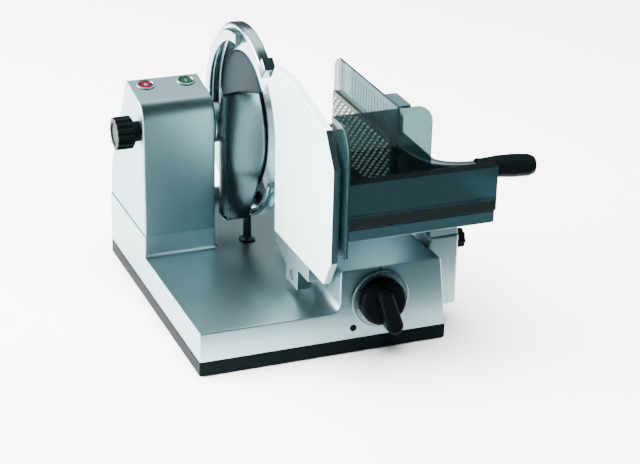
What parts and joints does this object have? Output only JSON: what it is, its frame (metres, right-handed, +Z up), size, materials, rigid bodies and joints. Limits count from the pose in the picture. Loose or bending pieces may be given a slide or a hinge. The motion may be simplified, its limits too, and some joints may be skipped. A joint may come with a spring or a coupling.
{
  "type": "deli meat slicer",
  "caption": "Countertop meat slicer with cast base, motor tower, guarded round blade, dial-set gauge plate and a sliding food carriage with a swing-up spiked pusher.",
  "frame": {"origin": "bottom centre of the whole object's bounding box, on the surface that the feet stand on", "axes": "+X to the operator's right, towards the carriage handle; +Y to the back, the carriage's cutting direction; +Z up"},
  "size_m": [0.522, 0.514, 0.3869],
  "materials": {
    "cast_aluminium": "brushed casting",
    "tray_aluminium": "brushed sheet",
    "plate_aluminium": "satin anodised",
    "polished_steel": "polished stainless",
    "machined_steel": "turned and ground",
    "black_plastic": "satin moulded",
    "black_rubber": "matte",
    "smoked_acrylic": "transparent, smoked",
    "clear_acrylic": "transparent, lightly tinted",
    "red_button": "gloss",
    "green_button": "gloss",
    "bronze": "machined bearing bronze",
    "nylon": "natural nylon",
    "painted_motor": "dark enamel"
  },
  "bodies": {
    "machine": {"base_casting": "cast_aluminium", "skirt": "black_plastic", "bottom_plate": "machined_steel", "foot_front_left": "black_rubber", "foot_front_right": "black_rubber", "foot_rear_left": "black_rubber", "foot_rear_right": "black_rubber", "front_plug": "black_plastic", "cord_gland": "black_plastic", "support_stud": "machined_steel", "tower_housing": "cast_aluminium", "stop_bezel": "machined_steel", "start_bezel": "machined_steel", "neck_housing": "cast_aluminium", "bearing_left": "machined_steel", "bearing_right": "machined_steel", "motor": "painted_motor", "drive_belt": "black_rubber", "motor_bracket": "machined_steel", "switch_module": "black_plastic", "blade_cover_plate": "polished_steel", "guard_ring": "cast_aluminium", "slice_deflector": "polished_steel", "gauge_bush": "bronze", "dial_bush": "bronze", "slide_rod": "machined_steel"},
    "blade": {"blade": "polished_steel", "blade_shaft": "machined_steel", "drive_pulley": "nylon"},
    "motor_rotor": {"motor_pulley": "machined_steel"},
    "blade_release": {"release_knob": "black_plastic", "tie_rod": "machined_steel"},
    "stop_button": {"stop_button": "red_button"},
    "start_button": {"start_button": "green_button"},
    "gauge": {"gauge_plate": "plate_aluminium", "gauge_carrier": "cast_aluminium", "gauge_rod": "machined_steel", "gauge_guide_rod": "machined_steel", "gauge_follower": "machined_steel", "gauge_screw": "black_plastic"},
    "dial": {"dial_knob": "black_plastic", "dial_scale": "plate_aluminium", "dial_cam_shaft": "machined_steel"},
    "carriage": {"carriage_slider": "cast_aluminium", "carriage_column": "cast_aluminium", "column_bolt": "polished_steel", "carriage_bracket": "cast_aluminium", "carriage_table": "tray_aluminium", "pusher_rod": "polished_steel", "front_fence": "smoked_acrylic", "thumb_guard": "smoked_acrylic", "food_guard": "clear_acrylic"},
    "carriage_lock": {"carriage_knob": "black_plastic"},
    "pusher_carrier": {"pusher_sleeve": "bronze"},
    "pusher": {"pusher_arm": "cast_aluminium", "plate_spindle": "cast_aluminium", "pusher_plate": "smoked_acrylic", "spike_plate": "machined_steel", "pusher_grip": "black_plastic"},
    "pusher_lock": {"pusher_clamp_knob": "black_plastic"}
  },
  "joints": [
    {"name": "blade_spin", "type": "hinge", "parent": "machine", "child": "blade", "pos_m": [-0.108, 0.099, 0.248], "axis": [1, 0, 0], "continuous": true},
    {"name": "motor_spin", "type": "hinge", "parent": "machine", "child": "motor_rotor", "pos_m": [-0.208, 0.166, 0.142], "axis": [1, 0, 0], "continuous": true},
    {"name": "blade_release_turn", "type": "hinge", "parent": "machine", "child": "blade_release", "pos_m": [-0.248, 0.099, 0.248], "axis": [-1, 0, 0], "range_deg": [0, 1080]},
    {"name": "stop_press", "type": "slide", "parent": "machine", "child": "stop_button", "axis": [0, 0.1736, -0.9848], "range_m": [0, 0.003], "stiffness_N_per_m": 400, "springref_m": -0.004},
    {"name": "start_press", "type": "slide", "parent": "machine", "child": "start_button", "axis": [0, 0.1736, -0.9848], "range_m": [0, 0.003], "stiffness_N_per_m": 400, "springref_m": -0.004},
    {"name": "gauge_slide", "type": "slide", "parent": "machine", "child": "gauge", "axis": [-1, 0, 0], "range_m": [0, 0.015]},
    {"name": "dial_turn", "type": "hinge", "parent": "machine", "child": "dial", "pos_m": [0.028, -0.179, 0.078], "axis": [0, 1, 0], "range_deg": [0, 300.5]},
    {"name": "carriage_slide", "type": "slide", "parent": "machine", "child": "carriage", "axis": [0, 1, 0], "range_m": [0, 0.27]},
    {"name": "carriage_lock_turn", "type": "hinge", "parent": "carriage", "child": "carriage_lock", "pos_m": [0.167, -0.119, 0.121], "axis": [-1, 0, 0], "range_deg": [0, 360]},
    {"name": "pusher_slide", "type": "slide", "parent": "carriage", "child": "pusher_carrier", "axis": [1, 0, 0], "range_m": [-0.075, 0.024]},
    {"name": "pusher_swing", "type": "hinge", "parent": "pusher_carrier", "child": "pusher", "pos_m": [0.103, 0.055, 0.238], "axis": [-1, 0, 0], "range_deg": [0, 100]},
    {"name": "pusher_clamp_turn", "type": "hinge", "parent": "pusher", "child": "pusher_lock", "pos_m": [0.052, -0.149, 0.2355], "axis": [-1, 0, 0], "range_deg": [0, 360]}
  ],
  "couplings": [
    {"joint": "motor_spin", "follows": "blade_spin", "ratio": 1.1852},
    {"joint": "dial_turn", "follows": "gauge_slide", "rad_per_m": 349}
  ]
}
